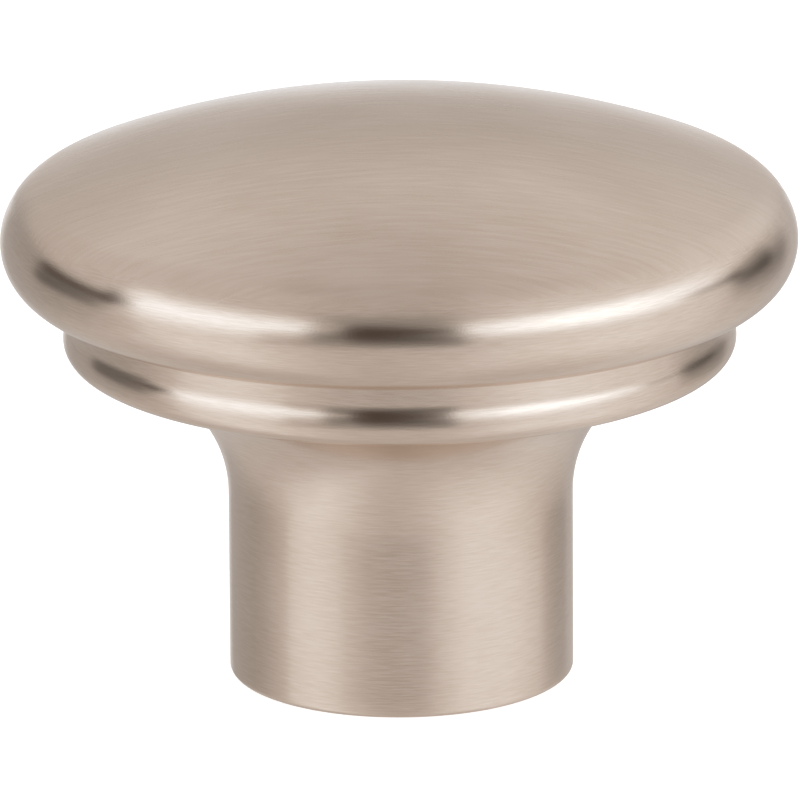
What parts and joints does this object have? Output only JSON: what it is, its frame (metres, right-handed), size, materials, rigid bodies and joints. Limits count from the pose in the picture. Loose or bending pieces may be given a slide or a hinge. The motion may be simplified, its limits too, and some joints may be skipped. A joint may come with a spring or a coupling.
{
  "type": "cabinet knob",
  "caption": "Round cabinet or drawer knob with a domed head, a stepped ring under it and a flared stem, tapped in its base for a screw.",
  "frame": {"origin": "centre of the base face, on the axis of the screw hole", "axes": "+Z along the knob's axis, from the base up to the top of the dome; -Y towards the viewer of the picture"},
  "size_m": [0.035, 0.035, 0.0254],
  "materials": {
    "brushed_nickel": "satin brushed nickel plate on cast zinc, fine linear brushing on the dome and brushing round the rim, ring and stem"
  },
  "bodies": {
    "root": {"knob": "brushed_nickel"}
  },
  "joints": []
}
